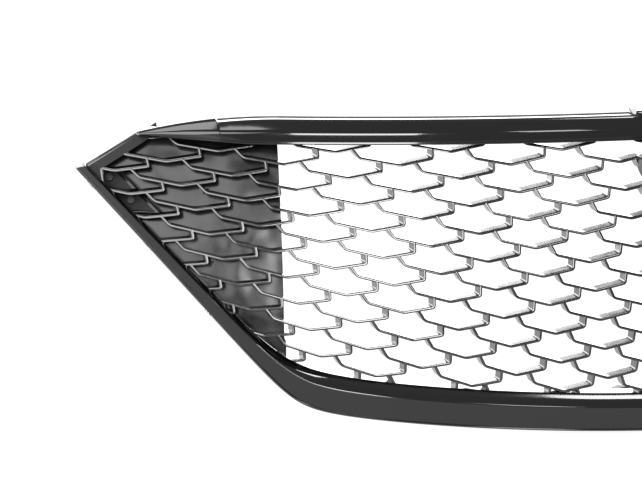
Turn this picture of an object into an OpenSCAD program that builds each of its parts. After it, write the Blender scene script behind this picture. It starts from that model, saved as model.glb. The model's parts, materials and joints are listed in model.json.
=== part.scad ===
// Front grille: a bowed one-piece mesh that carries gloss moldings, wing blanking panels,
// a plain oval badge, brackets, seals and pads.
// Drawn with +X across the car, +Y towards the rear and +Z up, mirror-symmetric about X = 0.
// The origin is midway between the upper bracket's two inner fixing holes, on the underside of its tabs.

/* [Face shape] */
// Plan radius of the face across the car
plan_r = 1190; // [1180:1:1200]
// How far the face lies back at lean_h compared with its foot
lean_top = 63; // [60:0.5:66]
// Height over which lean_top is reached
lean_h = 230; // [225:1:235]

/* [Mesh] */
// Column spacing at the foot of the mesh
pitch_low = 39.5; // [39:0.1:40]
// Column spacing at the height lean_h
pitch_high = 49.6; // [49:0.1:50]
// How sharply the columns fan out with height
fan_power = 1.2; // [1:0.05:1.4]
// Height of the first row of strand bottoms
first_row_z = 207; // [206:0.5:208]
// Row spacing on the centre line at the top
row_pitch = 23; // [22.8:0.1:23.2]
// Growth of the row spacing from row to row
row_growth = 0.21; // [0.18:0.01:0.24]
// Loss of row spacing per column squared, towards the wings
row_loss = 0.04; // [0.035:0.001:0.045]
// Width of a strand seen from the front
strand = 2.5; // [2:0.1:3]
// Depth of the strands
mesh_depth = 14; // [12:0.5:15]
// Depth of the wall round the mesh
rim_depth = 20; // [19:0.5:22]
// Thickness of that wall
rim_wall = 2.5; // [2:0.1:3]
// Thickness of the fixing band outside the wall
band = 4; // [3.5:0.1:4.5]
// Height of the web along each wing's upper edge
wing_web = 8.5; // [8:0.1:9]

/* [Upper molding] */
// Height of its top edge
top_z = 238; // [237.5:0.1:238.5]
// Height of its crease
crease_z = 225; // [223:0.5:226]
// Height of its lower lip
lip_z = 214; // [213.5:0.1:214.5]
// Depth of the shallow recess along the top edge
recess = 3.2; // [2.5:0.1:3.5]
// Where the recess begins, from the centre line
recess_from = 77; // [76:1:84]
// Where the recess ends
recess_to = 436; // [430:1:438]
// Half of the molding's length
upper_half = 501; // [499:0.5:502]
// Wall thickness of both moldings
skin = 2.6; // [2.4:0.1:2.8]

/* [Lower molding] */
// Half of the width across the two wing tips
half_width = 554; // [553:0.5:555]
// Height of the outer edge on the centre line
outer_z = -36.5; // [-37:0.1:-36]
// Height of the inner edge on the centre line
inner_z = -3.7; // [-4:0.1:-3.4]
// Slope of the outer edge along the wings
outer_slope = 1.225; // [1.22:0.001:1.23]
// Slope of the inner edge along the wings
inner_slope = 1.149; // [1.14:0.001:1.155]
// Where the outer edge's slope meets the height of zero
outer_foot = 399.5; // [399:0.5:400]
// Where the inner edge's slope meets the height of zero
inner_foot = 377.4; // [377:0.1:378]
// Roundness of the outer corner
outer_corner = 12; // [10:0.5:14]
// Roundness of the inner corner
inner_corner = 15.5; // [14:0.5:17]
// Reach of the outer lip behind the face
lip_back = 10; // [8:0.5:12]

/* [Blanking panels] */
// Inboard edge, from the centre line, at the foot
panel_edge = 393; // [391:0.5:394]
// How far that edge has curved inboard at the height lean_h
panel_curve = 10; // [8:0.5:12]
// Depth of the panel's front behind the face
panel_depth = 9.6; // [9.4:0.1:10]
// Thickness
panel_wall = 2.4; // [2:0.1:2.6]
// Depth of the stepped border's front behind the face
border_depth = 20; // [19.5:0.1:21]
// Width of the stepped border along the wing
border_width = 19; // [17:0.5:20]

/* [Badge] */
// Half width and half height of the oval badge base
badge_half = [80, 42]; // [40:1:82]
// Height of its middle
badge_z = 196; // [195:0.5:197]

/* [Fixings] */
// Radius of the fixing holes in the brackets
hole_r = 3.3; // [3:0.1:3.5]
// Half spacing of the upper fixing hole pairs
upper_holes = [110, 330]; // [100:1:340]
// Half spacing of the lower fixing hole pairs
lower_holes = [90, 260]; // [80:1:270]
// Shank radius of the tapping screws
screw_r = 1.6; // [1.5:0.05:1.8]
// Head radius of the tapping screws
screw_head_r = 4; // [3.6:0.1:4.2]
// Radial clearance of a retainer pin in its bore
pin_gap = 0.08; // [0.05:0.01:0.1]
// Travel of a retainer pin between locked and released
pin_travel = 6; // [5:0.5:7]

/* [Hidden] */
$fn = 48;

gloss = [0.02, 0.02, 0.022];
satin = [0.07, 0.07, 0.075];
steel = [0.55, 0.56, 0.58];
rubber = [0.05, 0.05, 0.05];
far = 400;
gap = 0.1;

// ---- the face: a surface of revolution about a vertical axis behind the grille ----
// It leans back more and more with height, in straight steps that follow a parabola.
slab_step = 40;
slab_levels = [for (z = [-slab_step:slab_step:6 * slab_step]) z];
function parabola(z) = lean_top * pow(max(z, 0) / lean_h, 2);
function level_below(z) = slab_step * floor(z / slab_step);
function step_slope(z) = (parabola(level_below(z) + slab_step) - parabola(level_below(z))) / slab_step;
function lean(z) = parabola(level_below(z)) + (z - level_below(z)) * step_slope(z);
function tilt(z) = atan(step_slope(z));
function face_r(z) = plan_r - lean(z);
function face_y(x, z) = plan_r - sqrt(pow(face_r(z), 2) - x * x);

// ---- edges, as heights over the distance x from the centre line ----
bottom_rise = 0.000145;
wing_line = [499, 219, 0.63];
top_bow_from = 380;
top_bow = 16 / pow(123, 2);
function rounded_max(a, b, round) = (a + b) / 2 + sqrt(pow((a - b) / 2, 2) + round * round);
function bottom_edge(x, z, slope, foot, round) =
  rounded_max(z + bottom_rise * x * x, slope * (abs(x) - foot), round);
function outer_edge(x) = bottom_edge(x, outer_z, outer_slope, outer_foot, outer_corner);
function inner_edge(x) = bottom_edge(x, inner_z, inner_slope, inner_foot, inner_corner);
function top_drop(x) = top_bow * pow(max(abs(x) - top_bow_from, 0), 2);
function wing_edge(x) = wing_line[1] - wing_line[2] * (abs(x) - wing_line[0]);
// Past end_from the mesh window's top and the upper molding's lip climb by these slopes.
end_from = 413;
window_climb = 0.05;
lip_climb = 0.06;
function past_end(x) = max(abs(x) - end_from, 0);
function window_top(x) = min(lip_z + 3 + window_climb * past_end(x), wing_edge(x) - wing_web);
wing_lip = 1.5;
function band_top(x) = min(top_z - 5 - top_drop(x), wing_edge(x) + wing_lip);
function band_low(x) = outer_edge(x) + 7;
window_half = 531;
band_half = 545;

// Distances from the centre line at which curved edges are sampled: close together round the lower corners.
half_steps = [0, 60, 120, 180, 240, 290, 320, 340, 355, 370, 385, 400, 415, 430, 450, 483, 499];
function mirrored(xs) = concat([for (i = [len(xs) - 1:-1:1]) -xs[i]], xs);
function outline(low, high) = concat(low, [for (i = [len(high) - 1:-1:0]) high[i]]);
window_xs = mirrored(concat(half_steps, [520, window_half]));
band_xs = mirrored(concat(half_steps, [520, band_half]));
window = outline([for (x = window_xs) [x, inner_edge(x)]], [for (x = window_xs) [x, window_top(x) + 0.1]]);
band_shape = outline([for (x = band_xs) [x, band_low(x)]], [for (x = band_xs) [x, band_top(x)]]);

// Moves every side of a counter-clockwise outline outwards by d.
function unit(v) = v / norm(v);
function side_normal(p, i) = let (v = unit(p[(i + 1) % len(p)] - p[i])) [v[1], -v[0]];
function grown(p, d) = [
  for (i = [0:len(p) - 1])
    let (a = side_normal(p, (i + len(p) - 1) % len(p)), b = side_normal(p, i))
    p[i] + (a + b) * d / (1 + a * b)
];

// ---- mesh cells ----
// Column u and row v of the fan give a place on the face; even columns lie half a row lower.
function row_z(u, v) = first_row_z - v * (row_pitch + row_growth * v - row_loss * u * u);
function column_x(u, z) = u * (pitch_low + (pitch_high - pitch_low) * pow(max(z, 0) / lean_h, fan_power));
function lattice(u, v) = let (z = row_z(u, v)) [column_x(u, z), z];
// A strand hangs from its upper left neighbour to its upper right one like a shallow bowl.
bowl_half = 0.64;
bowl_rise = 0.26;
hang = [0.70, 0.622];
cell_shape = [
  [-hang[0], -hang[1]], [-bowl_half, -bowl_rise], [0, 0], [bowl_half, -bowl_rise], [hang[0], -hang[1]],
  [1 - bowl_half, -0.5 - bowl_rise], [1 - hang[0], -0.5 - hang[1]], [0, -1],
  [hang[0] - 1, -0.5 - hang[1]], [bowl_half - 1, -0.5 - bowl_rise],
];
function cell(u, v) = grown([for (c = cell_shape) lattice(u + c[0], v + c[1])], -strand / 2);
columns = 12;
rows = 10;
function in_window(p) = abs(p[0]) < window_half && p[1] > inner_edge(p[0]) && p[1] < window_top(p[0]);
function opens(c) = len([for (p = c) if (in_window(p)) p]);

// ---- shapes laid on the face ----
// Brings the grille's own frame to the part's origin.
bracket_z = top_z - 8.8;
upper_tab_z = bracket_z - 3.3;
upper_hole_y = [100, 146];
module placed() {
  translate([0, -upper_hole_y[0], -upper_tab_z]) children();
}

// A shell that follows the face, from one depth behind it to another.
module face_slab(front, back) {
  levels = len(slab_levels);
  translate([0, plan_r, 0])
    rotate_extrude($fn = 360)
      polygon(concat(
        [for (z = slab_levels) [face_r(z) - front, z]],
        [for (i = [levels - 1:-1:0]) [face_r(slab_levels[i]) - back, slab_levels[i]]]
      ));
}

// An outline in the X-Z plane pushed far to the rear, starting in front of everything.
module pushed(shape) {
  translate([0, far, 0]) rotate([90, 0, 0]) linear_extrude(height = far + 60) polygon(shape);
}

// Children stand square to the face at (x, z), with their own +Z to the rear, on the shell of that depth.
module on_face(x, z, deep = 0) {
  translate([x, face_y(x, z), z])
    rotate([-90 - tilt(z), 0, asin(x / face_r(z))])
      translate([0, 0, deep * cos(tilt(z))])
        children();
}
// Place along Y of a shell that lies d behind the face.
function depth_y(x, z, d) = plan_r - sqrt(pow(face_r(z) - d, 2) - x * x);

module both_sides() {
  children();
  mirror([1, 0, 0]) children();
}

// ---- molding sections ----
// The upper molding's section as [distance in front of the face, height]: lip, crease, top edge, top return.
upper_skin = [
  [gap, lip_z], [6, lip_z], [9, lip_z + 2], [13, crease_z], [10, top_z - 1.5], [8, top_z], [-16, top_z],
  [-16, top_z - skin], [6.4, top_z - skin], [7.6, top_z - skin - 1],
  [13 - 1.1 * skin, crease_z], [6.6, lip_z + skin + 1], [5, lip_z + skin], [gap, lip_z + skin],
];
function upper_top(x) = top_z - top_drop(x);
function upper_lip(x) = lip_z + lip_climb * past_end(x);
upper_xs = mirrored([0, 120, 240, 360, 380, 395, 410, 425, 440, 455, 470, 485, upper_half]);

// The lower molding lies between its outer and inner edges, paired at equal fractions t of their length.
lower_inner_half = half_width - 8.5;
lower_ts = mirrored([for (x = concat(half_steps, [520, 540])) x / 540]);
function edge_pair(t) = [
  [half_width * t, outer_edge(half_width * t)],
  [lower_inner_half * t, inner_edge(lower_inner_half * t)]
];
// Point at the fraction w of the way across the molding, moved on by mm.
function across(t, w, mm) = let (e = edge_pair(t), v = e[1] - e[0]) e[0] + v * w + unit(v) * mm;
// Strip along the molding between two such lines.
function lower_strip(w0, mm0, w1, mm1) =
  outline([for (t = lower_ts) across(t, w0, mm0)], [for (t = lower_ts) across(t, w1, mm1)]);

// ---- screws, drawn with their heads to the rear ----
upper_screw_xs = [130, 240, 350, 425];
upper_screw_z = 226.7;
lower_screw_xs = [70, 180, 290];
lower_screw_z = -13;
wing_screws = [[440, 61.7], [505.7, 141]];
ears = [[402, 226], [455, 224]];
flange = 2.5;
bracket_back = band + gap + flange;

// Seated on the shell at head_depth, with its point on the shell at tip_depth.
module screw(x, z, head_depth, tip_depth) {
  on_face(x, z, tip_depth)
    cylinder(r = screw_r, h = (head_depth - tip_depth) * cos(tilt(z)) + 0.5);
  on_face(x, z, head_depth)
    translate([0, 0, gap]) {
      cylinder(r = screw_head_r, h = 1.4);
      translate([0, 0, 1.4]) cylinder(r1 = screw_head_r, r2 = screw_head_r - 1.2, h = 1);
    }
}

// Solid post between two shells.
module post(x, z, r, front, back) {
  on_face(x, z, front) cylinder(r = r, h = (back - front) * cos(tilt(z)));
}

// ---- badge ----
function oval(half) = [for (a = [0:7.5:359]) [half[0] * cos(a), half[1] * sin(a)]];
badge_front = 15;
badge_floor = 9;
badge_back = 6;
seat_wall = 2.9;
badge_posts = [[-50, 0], [50, 0], [0, -22], [0, 22]];
// An oval block larger than the badge base all round, from in front of the face to behind it.
module badge_block(grow, front, back) {
  on_face(0, badge_z)
    translate([0, 0, -front])
      linear_extrude(height = front + back) polygon(oval(badge_half + [grow, grow]));
}
module at_badge_posts(deep) {
  on_face(0, badge_z)
    for (p = badge_posts) translate([p[0], p[1], deep]) children();
}

// ---- push retainers: a body clipped through ledge and panel border, with a pin that slides out of it ----
retainer_rows = [168, 186];
retainer_shank_r = 3.4;
retainer_head_r = 7;
spot_play = 0.3;
pin_r = 1.8;
border_back = border_depth + panel_wall;
ledge_wall = 2.5;
ledge_front = border_depth - gap - ledge_wall;
function inner_edge_x(z) = inner_foot + z / inner_slope;
function retainer_x(z) = inner_edge_x(z) - 10;
retainer_tip = mesh_depth + 0.6;

// ---- wing outlines, drawn for the wing at positive X ----
wing_top_z = 188;
wing_foot_z = 150;
// The strip along the wing between two distances inboard of the window's sloping edge.
function wing_strip(near, inboard, foot = wing_foot_z, top = wing_top_z) = [
  [inner_edge_x(foot) - inboard, foot], [inner_edge_x(foot) - near, foot],
  [inner_edge_x(top) - near, top], [inner_edge_x(top) - inboard, top],
];
// Between two heights above the wing's upper edge.
web_from = 486;
web_to = 560;
function web_strip(low, high) = [
  [web_from, wing_edge(web_from) + low], [web_to, wing_edge(web_to) + low],
  [web_to, wing_edge(web_to) + high], [web_from, wing_edge(web_from) + high],
];
border_in = border_width * norm([1, inner_slope]) / inner_slope;
pocket_z = [wing_foot_z + panel_wall, wing_top_z - panel_wall];
riser_in = border_in + panel_wall * 1.3;
function panel_edge_x(z) = panel_edge - panel_curve * pow(z / lean_h, 2);
panel_xs = [400, 415, 430, 450, 483, 499, 515, 528];
panel_shape = concat(
  outline(
    concat([[panel_edge, inner_edge(panel_edge) + 0.5]], [for (x = panel_xs) [x, inner_edge(x) + 0.5]]),
    concat([[panel_edge_x(lip_z), window_top(400) - 0.5]], [for (x = panel_xs) [x, window_top(x) - 0.5]])
  ),
  [for (z = [190:-30:70]) [panel_edge_x(z), z]]
);
function rectangle(x0, x1, z0, z1) = [[x0, z0], [x1, z0], [x1, z1], [x0, z1]];

// ================= mesh insert =================
module mesh_outline() {
  difference() {
    polygon(grown(window, rim_wall / 2));
    difference() {
      for (u = [-columns:columns], row = [-1:rows]) {
        shape = cell(u, row + (u % 2 == 0 ? 0.5 : 0));
        inside = opens(shape);
        if (inside == len(shape))
          polygon(shape);
        else if (inside > 0)
          intersection() {
            polygon(shape);
            polygon(window);
          }
      }
      translate([0, badge_z]) polygon(oval(badge_half + [4, 2]));
    }
  }
}

// The lattice's thickness, shallower over the blanking panels and pocketed for the badge.
module mesh_thickness() {
  difference() {
    face_slab(0, mesh_depth);
    badge_block(0.3, 40, badge_back + gap);
    on_face(0, badge_z)
      translate([0, 0, badge_back + gap + seat_wall])
        linear_extrude(height = 30) polygon(oval(badge_half - [3, 3]));
    both_sides()
      intersection() {
        face_slab(panel_depth - gap, 2 * mesh_depth);
        difference() {
          pushed(grown(panel_shape, 0.4));
          pushed(wing_strip(-20, border_in - 1, pocket_z[0] + gap, pocket_z[1] - gap));
        }
      }
    ear_slots();
    ear_holes();
    web_trim();
    at_badge_posts(0) cylinder(r = screw_r + 0.5, h = 30);
  }
}

// Recess in front of each wing's web, inside its thin lip, and what the web's outer edge is clear of.
web_front = 1;
web_back = 3;
module web_trim() {
  both_sides() {
    pushed(web_strip(wing_lip, 40));
    intersection() {
      face_slab(-5, web_front);
      pushed(web_strip(-wing_web, 0));
    }
    intersection() {
      face_slab(web_back, 2 * rim_depth);
      pushed(web_strip(-3, 40));
    }
  }
}

// Room for the panels' ears, and the pilot holes of their screws.
module ear_slots() {
  both_sides()
    intersection() {
      face_slab(panel_depth - gap, 2 * rim_depth);
      for (e = ears) pushed(rectangle(e[0] - 9, e[0] + 9, lip_z - 3, e[1] + 9));
    }
}

module ear_holes() {
  both_sides()
    for (e = ears) post(e[0], e[1], screw_r, band - 1.5, panel_depth + 3);
}

module mesh_band() {
  difference() {
    union() {
      intersection() {
        face_slab(0, band);
        difference() {
          pushed(band_shape);
          pushed(grown(window, 0.5));
        }
      }
      both_sides()
        for (e = ears) post(e[0], e[1], 4.5, band - 1, panel_depth - gap);
    }
    both_sides() {
      for (x = upper_screw_xs) post(x, upper_screw_z, screw_r + 0.5, -3, band + 3);
      for (x = lower_screw_xs) post(x, lower_screw_z, screw_r + 0.5, -3, band + 3);
      for (w = wing_screws) post(w[0], w[1], screw_r + 0.5, -3, band + 3);
    }
    ear_holes();
    badge_block(0.3, 40, badge_back + gap);
    web_trim();
  }
}

low_wall_from = 480;
module mesh_rim() {
  difference() {
    intersection() {
      face_slab(0, rim_depth);
      difference() {
        pushed(grown(window, rim_wall));
        pushed(window);
      }
    }
    badge_block(0.3, 40, badge_back + gap);
    ear_slots();
    ear_holes();
    web_trim();
    // room beside the wall for the heads of the wing screws
    both_sides()
      for (w = wing_screws) post(w[0], w[1], screw_head_r + spot_play, band, band + 3);
    // the low wall along each wing's upper edge and round its tip
    both_sides()
      intersection() {
        face_slab(panel_depth - gap, 2 * rim_depth);
        union() {
          pushed(rectangle(low_wall_from, web_to, wing_top_z, top_z));
          pushed(rectangle(window_half - 6, web_to, wing_top_z - 20, top_z));
        }
      }
  }
}

module wing_ledge() {
  difference() {
    intersection() {
      face_slab(ledge_front, ledge_front + ledge_wall);
      pushed(wing_strip(-5, border_in - 4, pocket_z[0] + 1, pocket_z[1] - 1));
      pushed(grown(window, 1));
    }
    for (z = retainer_rows)
      post(retainer_x(z), z, retainer_shank_r + gap, ledge_front - 3, border_back);
  }
}

module mesh_insert() {
  color(gloss) placed() {
    intersection() {
      mesh_thickness();
      translate([0, far, 0]) rotate([90, 0, 0]) linear_extrude(height = far + 60) mesh_outline();
    }
    difference() {
      intersection() {
        badge_block(-1, -badge_back - gap, badge_back + gap + seat_wall);
        face_slab(-50, rim_depth);
      }
      at_badge_posts(0) cylinder(r = screw_r + 0.5, h = 30);
    }
    mesh_band();
    mesh_rim();
    both_sides() wing_ledge();
  }
}

// ================= moldings =================
module upper_shell() {
  intersection() {
    difference() {
      translate([0, plan_r, 0])
        rotate_extrude($fn = 360)
          polygon([for (p = upper_skin) [face_r(p[1]) + p[0], p[1]]]);
      both_sides() pushed(rectangle(recess_from, recess_to, top_z - recess, top_z + 9));
    }
    difference() {
      pushed(outline([for (x = upper_xs) [x, upper_lip(x)]], [for (x = upper_xs) [x, upper_top(x)]]));
      // past the recess the return is short
      both_sides()
        intersection() {
          face_slab(2, 40);
          pushed(rectangle(recess_to, upper_half + 9, lip_z, top_z + 9));
        }
    }
  }
  both_sides()
    intersection() {
      face_slab(-8, -gap);
      pushed(outline(
        [for (x = seal_xs) [x, upper_top(x) - recess - skin]],
        [for (x = seal_xs) [x, upper_top(x) - recess]]
      ));
    }
}

module upper_molding() {
  color(gloss) placed() {
    difference() {
      union() {
        upper_shell();
        both_sides()
          for (x = upper_screw_xs) post(x, upper_screw_z, 3.5, -11, -gap);
      }
      badge_block(0.4, 40, 40);
      both_sides()
        for (x = upper_screw_xs) post(x, upper_screw_z, screw_r, -8, 3);
    }
  }
}

lower_face = 12;
lip_end = 546;
lower_step = 7;
crease_w = 0.68;
module lower_shell() {
  intersection() {
    face_slab(-lower_face, -lower_face + skin);
    pushed(lower_strip(0, 0, crease_w, 0));
  }
  intersection() {
    face_slab(-lower_step, -lower_step + skin);
    pushed(lower_strip(crease_w, -skin, 1, 0));
  }
  intersection() {
    face_slab(-lower_face, -lower_step + skin);
    pushed(lower_strip(crease_w, -skin, crease_w, 0));
  }
  intersection() {
    face_slab(-lower_step, -gap);
    pushed(lower_strip(1, -skin, 1, 0));
  }
  intersection() {
    face_slab(-lower_face, lip_back);
    pushed(lower_strip(0, 0, 0, skin));
  }
}

module lower_molding() {
  color(gloss) placed() {
    difference() {
      union() {
        lower_shell();
        both_sides() {
          for (x = lower_screw_xs) post(x, lower_screw_z, 3.5, -lower_face + 1, -gap);
          for (w = wing_screws) post(w[0], w[1], 3.2, -lower_face + 1, -gap);
        }
      }
      both_sides() {
        for (x = lower_screw_xs) post(x, lower_screw_z, screw_r, -6.5, 3);
        for (w = wing_screws) post(w[0], w[1], screw_r, -5, 3);
        // the outer lip is shallow at the very tip
        intersection() {
          face_slab(1, 2 * lip_back);
          pushed(rectangle(lip_end, half_width + 9, wing_foot_z, top_z));
        }
      }
    }
  }
}

// ================= blanking panels =================
side_plate_y = 152;
side_plate_wall = 2.5;
side_plate_x = [402, 456];
side_plate_z = [94, 186];
side_flange = 10;
side_posts = [[446, 110], [446, 170]];
side_hole_x = 414;

// A post along Y on the back of the panel, which carries the side bracket.
module side_post(p) {
  difference() {
    intersection() {
      translate([p[0], 0, p[1]]) rotate([-90, 0, 0]) cylinder(r = 4.5, h = side_plate_y - gap);
      face_slab(panel_depth + 0.5, side_plate_y);
    }
    translate([p[0], side_plate_y - 8, p[1]]) rotate([-90, 0, 0]) cylinder(r = screw_r, h = 20);
  }
}

module blanking_panel() {
  difference() {
    union() {
      intersection() {
        face_slab(panel_depth, panel_depth + panel_wall);
        union() {
          difference() {
            pushed(panel_shape);
            pushed(wing_strip(-20, border_in));
          }
          for (e = ears) pushed(rectangle(e[0] - 8, e[0] + 8, lip_z - 3, e[1] + 5));
        }
      }
      intersection() {
        face_slab(border_depth, border_back);
        pushed(panel_shape);
        pushed(wing_strip(-20, riser_in));
      }
      intersection() {
        face_slab(panel_depth, border_back);
        pushed(panel_shape);
        union() {
          pushed(wing_strip(border_in, riser_in));
          pushed(wing_strip(-20, riser_in, wing_foot_z, pocket_z[0]));
          pushed(wing_strip(-20, riser_in, pocket_z[1], wing_top_z));
        }
      }
    }
    for (z = retainer_rows) {
      post(retainer_x(z), z, retainer_shank_r + gap, ledge_front - 3, border_back + 3);
      // spot face, flat where the panel's facets meet at an angle under the head
      post(retainer_x(z), z, retainer_head_r + spot_play, border_back, border_back + 3);
    }
    for (e = ears) post(e[0], e[1], screw_r + 0.5, panel_depth - 2, panel_depth + 6);
  }
  for (p = side_posts) side_post(p);
}

module blanking_panel_left() {
  color(satin) placed() mirror([1, 0, 0]) blanking_panel();
}

module blanking_panel_right() {
  color(satin) placed() blanking_panel();
}

// ================= badge =================
module badge_base() {
  color(gloss) placed() {
    difference() {
      badge_block(0, badge_front, badge_back);
      badge_block(-3, badge_front + 1, -badge_floor);
      badge_block(-2.6, badge_floor - 2.5, badge_back + 1);
    }
    difference() {
      at_badge_posts(-badge_floor + 1) cylinder(r = 4, h = badge_floor - 1 + badge_back);
      at_badge_posts(-4) cylinder(r = screw_r, h = 20);
    }
  }
}

module badge_blank() {
  color(gloss) placed() badge_block(-3.3, badge_front - 0.8, -badge_floor - gap);
}

module badge_screws() {
  color(steel) placed() {
    at_badge_posts(-3) cylinder(r = screw_r, h = badge_back + seat_wall + 3.5);
    at_badge_posts(badge_back + 2 * gap + seat_wall) {
      cylinder(r = screw_head_r, h = 1.4);
      translate([0, 0, 1.4]) cylinder(r1 = screw_head_r, r2 = screw_head_r - 1.2, h = 1);
    }
  }
}

// ================= brackets =================
module slab_box(front, back, half_x, z0, z1) {
  intersection() {
    face_slab(front, back);
    translate([-half_x, -60, z0]) cube([2 * half_x, far, z1 - z0]);
  }
}

// Flat tab with a round end and a hole, reaching from y0 to a hole at (x, y).
tab_r = 12;
module tab(x, y0, y, z) {
  translate([0, 0, z])
    difference() {
      linear_extrude(height = flange) {
        translate([x - tab_r, y0]) square([2 * tab_r, y - y0]);
        translate([x, y]) circle(r = tab_r);
      }
      translate([x, y, -1]) cylinder(r = hole_r, h = flange + 2);
    }
}

// Plate down from the back of the bracket's shelf, which carries a tab below the shelf.
bracket_half = 372;
bracket_deep = 24;
module tab_hanger(x) {
  intersection() {
    face_slab(bracket_deep - flange, bracket_deep);
    translate([x - tab_r, 0, upper_tab_z]) cube([2 * tab_r, far, bracket_z + flange - upper_tab_z]);
  }
}

module upper_bracket() {
  color(satin) placed() {
    difference() {
      slab_box(band + gap, bracket_deep, bracket_half, bracket_z, bracket_z + flange);
      slab_box(0, 14, badge_half[0], bracket_z - 1, bracket_z + flange + 1);
    }
    difference() {
      slab_box(band + gap, bracket_back, bracket_half, lip_z + 7, bracket_z + 0.5);
      slab_box(0, 40, 92, lip_z - 5, bracket_z + flange);
      both_sides()
        for (x = upper_screw_xs) post(x, upper_screw_z, screw_r + 0.5, band - 1, bracket_back + 2);
    }
    both_sides()
      for (i = [0, 1]) {
        tab_hanger(upper_holes[i]);
        tab(
          upper_holes[i], depth_y(upper_holes[i] - tab_r, upper_tab_z, bracket_deep - flange / 2),
          upper_hole_y[i], upper_tab_z
        );
      }
  }
}

rail_half = 305;
rail_z = -8.8;
lower_hole_y = [46, 72];
module lower_rail() {
  color(satin) placed() {
    slab_box(band + gap, 26, rail_half, rail_z, rail_z + flange);
    difference() {
      intersection() {
        slab_box(band + gap, bracket_back, rail_half, -19, rail_z + 0.5);
        pushed(band_shape);
      }
      both_sides()
        for (x = lower_screw_xs) post(x, lower_screw_z, screw_r + 0.5, band - 1, bracket_back + 2);
    }
    both_sides()
      for (i = [0, 1])
        tab(lower_holes[i], lower_hole_y[i] - 22, lower_hole_y[i], rail_z);
  }
}

module side_bracket() {
  side_high = side_plate_z[1] - side_plate_z[0];
  difference() {
    union() {
      translate([side_plate_x[0], side_plate_y, side_plate_z[0]])
        cube([side_plate_x[1] - side_plate_x[0], side_plate_wall, side_high]);
      for (x = [side_plate_x[0], side_plate_x[1] - side_plate_wall])
        translate([x, side_plate_y, side_plate_z[0]]) cube([side_plate_wall, side_flange, side_high]);
    }
    for (p = side_posts) {
      translate([p[0], side_plate_y - 1, p[1]]) rotate([-90, 0, 0]) cylinder(r = screw_r + 0.5, h = 5);
      translate([side_hole_x, side_plate_y - 1, p[1]]) rotate([-90, 0, 0]) cylinder(r = hole_r, h = 5);
    }
  }
}

module side_bracket_left() {
  color(steel) placed() mirror([1, 0, 0]) side_bracket();
}

module side_bracket_right() {
  color(steel) placed() side_bracket();
}

// ================= seals and pads =================
seal_xs = [recess_from + 2, 140, 200, 260, 320, 380, 400, 415, recess_to - 4];
module upper_seal() {
  intersection() {
    face_slab(0.4, 6);
    pushed(outline(
      [for (x = seal_xs) [x, band_top(x) + 0.2]],
      [for (x = seal_xs) [x, band_top(x) + 2.2]]
    ));
  }
}

module upper_seal_left() {
  color(rubber) placed() mirror([1, 0, 0]) upper_seal();
}

module upper_seal_right() {
  color(rubber) placed() upper_seal();
}

pad_xs = [30, 175];
module anti_rattle_pads() {
  color(rubber) placed()
    both_sides()
      for (x = pad_xs)
        translate([x - 11, depth_y(x, 0, 12), rail_z - gap - 3]) cube([22, 10, 3]);
}

// ================= fasteners =================
module upper_molding_screws() {
  color(steel) placed() both_sides()
    for (x = upper_screw_xs)
      screw(x, upper_screw_z, x < bracket_half ? bracket_back : band, -7);
}

module lower_molding_screws() {
  color(steel) placed() both_sides() {
    for (x = lower_screw_xs) screw(x, lower_screw_z, bracket_back, -6);
    for (w = wing_screws) screw(w[0], w[1], band, -4.5);
  }
}

module panel_screws() {
  for (e = ears) screw(e[0], e[1], panel_depth + panel_wall, band - 1);
}

module panel_screws_left() {
  color(steel) placed() mirror([1, 0, 0]) panel_screws();
}

module panel_screws_right() {
  color(steel) placed() panel_screws();
}

module side_bracket_screws() {
  for (p = side_posts)
    translate([p[0], side_plate_y, p[1]]) rotate([-90, 0, 0]) {
      translate([0, 0, -7]) cylinder(r = screw_r, h = 7 + side_plate_wall + 0.5);
      translate([0, 0, side_plate_wall + gap]) cylinder(r = screw_head_r, h = 2.4);
    }
}

module side_bracket_screws_left() {
  color(steel) placed() mirror([1, 0, 0]) side_bracket_screws();
}

module side_bracket_screws_right() {
  color(steel) placed() side_bracket_screws();
}

// Spring clips folded over the back of the lower molding's outer lip, and cut on its slant.
clip_xs = [541, 501, 455];
clip_wall = 0.8;
clip_long = 10;
clip_leg = 7;
clip_play = 0.2;
clip_slope = atan(outer_slope);
// Place along Y of the lip's back edge, s along the lip from the clip's middle.
function lip_back_y(x, s) =
  let (at = x + s * cos(clip_slope)) depth_y(at, outer_edge(x) + s * sin(clip_slope), lip_back);
// A leg or the back of the clip: a strip along the lip from y0 to y1 behind the lip's back edge.
module clip_strip(x, y0, y1, high) {
  ends = [for (s = [-clip_long / 2, clip_long / 2]) [s, lip_back_y(x, s) - lip_back_y(x, 0)]];
  linear_extrude(height = high)
    polygon([ends[0] + [0, y0], ends[1] + [0, y0], ends[1] + [0, y1], ends[0] + [0, y1]]);
}

module molding_clip(x) {
  back = clip_play + clip_wall;
  translate([x, lip_back_y(x, 0), outer_edge(x)])
    rotate([0, -clip_slope, 0]) {
      for (leg = [-clip_wall - clip_play, skin + clip_play])
        translate([0, 0, leg]) clip_strip(x, -clip_leg, back, clip_wall);
      translate([0, 0, -clip_wall - clip_play])
        clip_strip(x, clip_play, back, skin + 2 * clip_wall + 2 * clip_play);
    }
}

module molding_clips_left() {
  color(steel) placed() mirror([1, 0, 0]) for (x = clip_xs) molding_clip(x);
}

module molding_clips_right() {
  color(steel) placed() for (x = clip_xs) molding_clip(x);
}

module retainer_body(z) {
  c = cos(tilt(z));
  on_face(retainer_x(z), z)
    difference() {
      union() {
        translate([0, 0, retainer_tip * c])
          cylinder(r = retainer_shank_r, h = (border_back - retainer_tip) * c + 1);
        translate([0, 0, border_back * c + gap]) cylinder(r = retainer_head_r, h = 1.6);
      }
      translate([0, 0, retainer_tip * c - 1]) cylinder(r = pin_r + pin_gap, h = 30);
    }
}

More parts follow.
